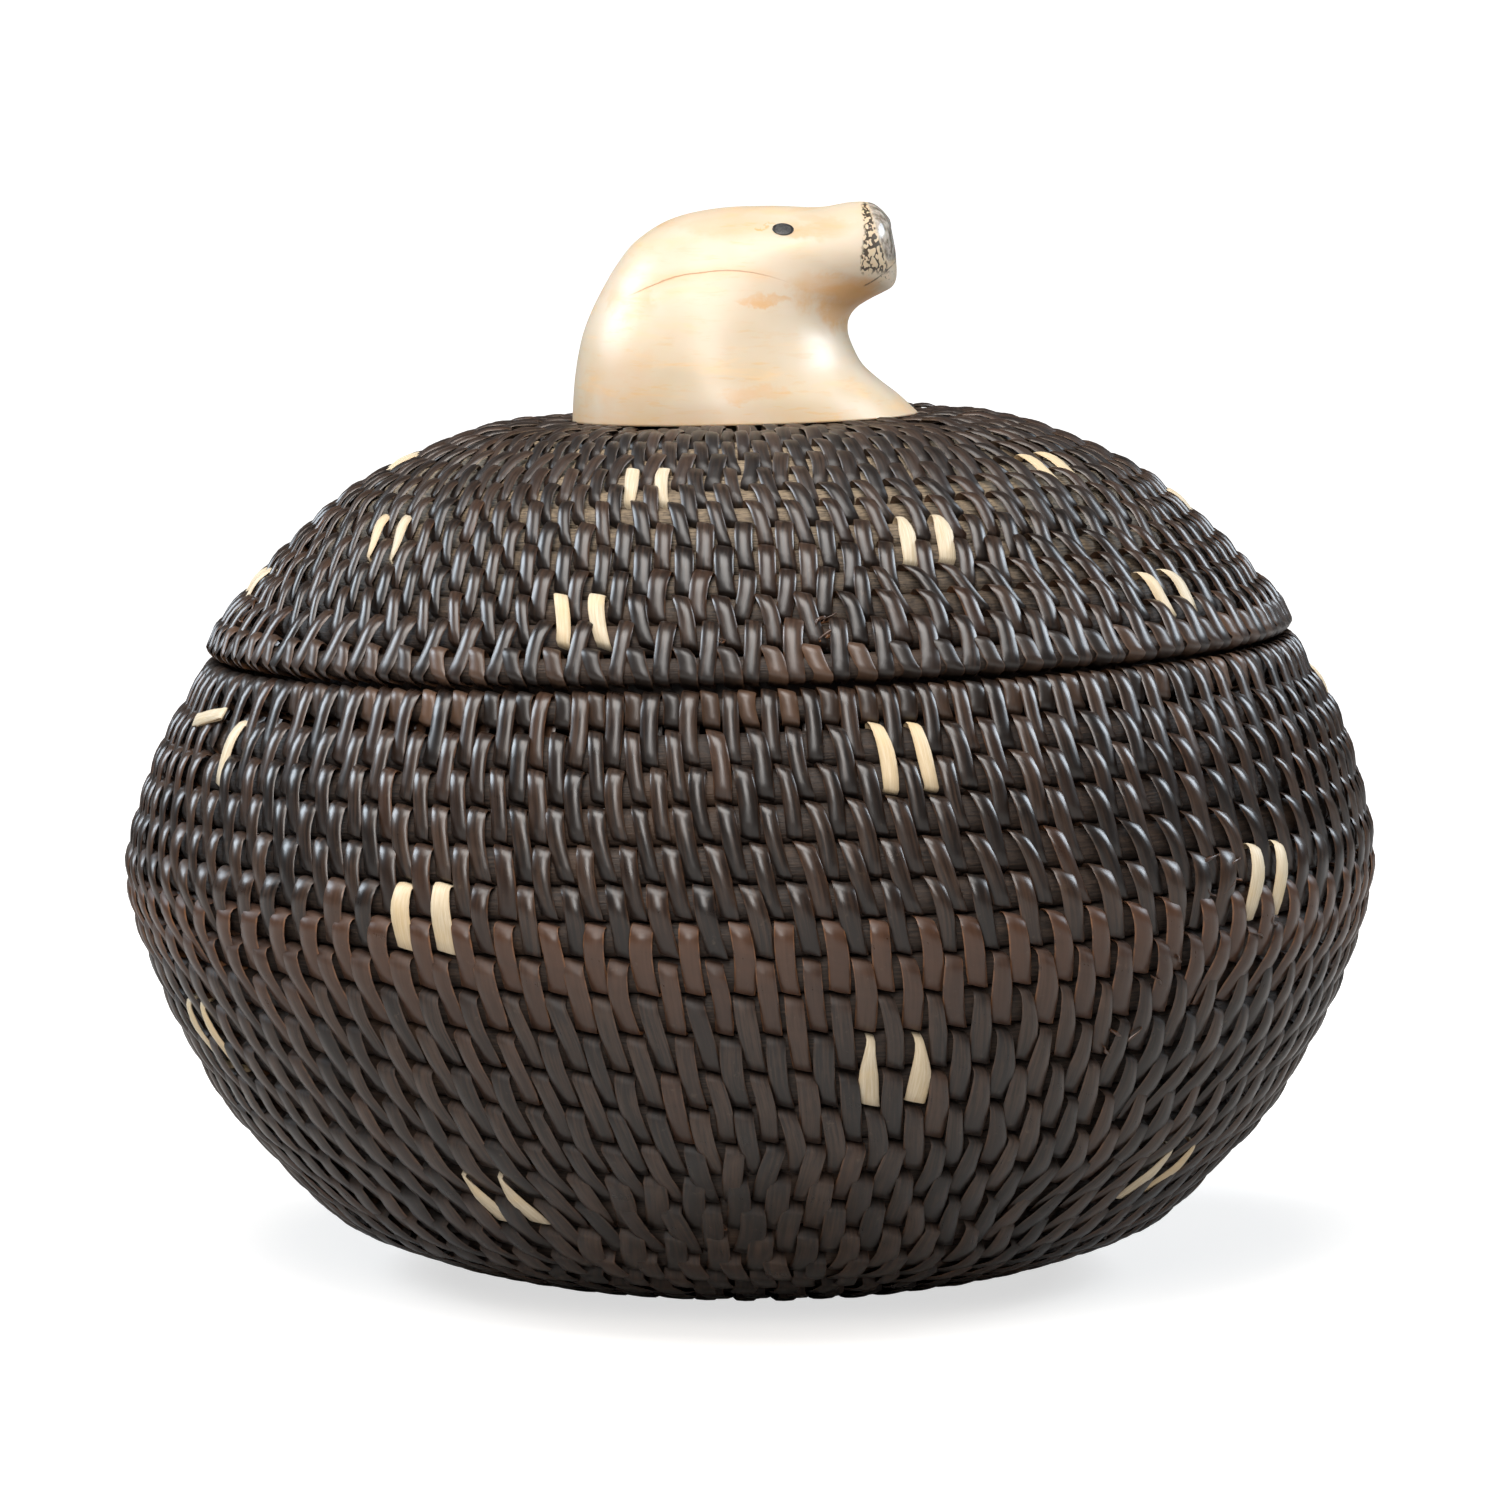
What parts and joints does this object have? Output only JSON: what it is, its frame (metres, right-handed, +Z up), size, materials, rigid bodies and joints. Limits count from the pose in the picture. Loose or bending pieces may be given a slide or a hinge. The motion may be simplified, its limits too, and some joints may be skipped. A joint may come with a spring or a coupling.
{
  "type": "lidded coiled basket",
  "caption": "Round lidded basket of coiled dark baleen with pale accent stitches, a ring on the lid that drops into the mouth, and a carved seal-head finial.",
  "frame": {"origin": "middle of the foot, on the surface that the basket stands on", "axes": "+Z up through the finial, +X the way the finial's snout points, -Y the front"},
  "size_m": [0.1, 0.1, 0.0853],
  "materials": {
    "baleen": "dark split baleen, worn to a soft sheen",
    "wrapped_rim": "baleen rod closely wrapped with browner splints",
    "lacing": "flat brown baleen strip",
    "pale_splint": "cream splint, dull",
    "ivory": "polished ivory with warm stains",
    "inlay": "dark inlaid peg"
  },
  "bodies": {
    "basket": {"base_disc": "ivory", "base_first_rod": "baleen", "base_lacing": "lacing", "body_wall": "baleen", "mouth_rod": "wrapped_rim", "body_pale_1_1": "pale_splint", "body_pale_1_2": "pale_splint", "body_pale_1_3": "pale_splint", "body_pale_1_4": "pale_splint", "body_pale_2_1": "pale_splint", "body_pale_2_2": "pale_splint", "body_pale_2_3": "pale_splint", "body_pale_2_4": "pale_splint", "body_pale_2_5": "pale_splint", "body_pale_3_1": "pale_splint", "body_pale_3_2": "pale_splint", "body_pale_3_3": "pale_splint", "body_pale_3_4": "pale_splint", "body_pale_3_5": "pale_splint", "body_pale_4_1": "pale_splint", "body_pale_4_2": "pale_splint", "body_pale_4_3": "pale_splint", "body_pale_4_4": "pale_splint", "body_pale_4_5": "pale_splint"},
    "lid": {"lid_disc": "ivory", "lid_first_rod": "baleen", "lid_lacing": "lacing", "lid_wall": "baleen", "lid_rod": "wrapped_rim", "lid_ring": "baleen", "ring_strip_1": "lacing", "ring_strip_2": "lacing", "ring_strip_3": "lacing", "ring_strip_4": "lacing", "ring_strip_5": "lacing", "ring_strip_6": "lacing", "ring_strip_7": "lacing", "ring_strip_8": "lacing", "lid_pale_1_1": "pale_splint", "lid_pale_1_2": "pale_splint", "lid_pale_1_3": "pale_splint", "lid_pale_1_4": "pale_splint", "lid_pale_1_5": "pale_splint", "lid_pale_2_1": "pale_splint", "lid_pale_2_2": "pale_splint", "lid_pale_2_3": "pale_splint", "lid_pale_2_4": "pale_splint", "lid_pale_2_5": "pale_splint", "lid_pale_3_1": "pale_splint", "lid_pale_3_2": "pale_splint", "lid_pale_3_3": "pale_splint", "lid_pale_3_4": "pale_splint", "lid_pale_3_5": "pale_splint", "finial": "ivory", "finial_peg": "ivory", "finial_eye_left": "inlay", "finial_eye_right": "inlay"}
  },
  "joints": [
    {"name": "lid_lift", "type": "slide", "parent": "basket", "child": "lid", "axis": [0, 0, 1], "range_m": [0, 0.06]}
  ]
}
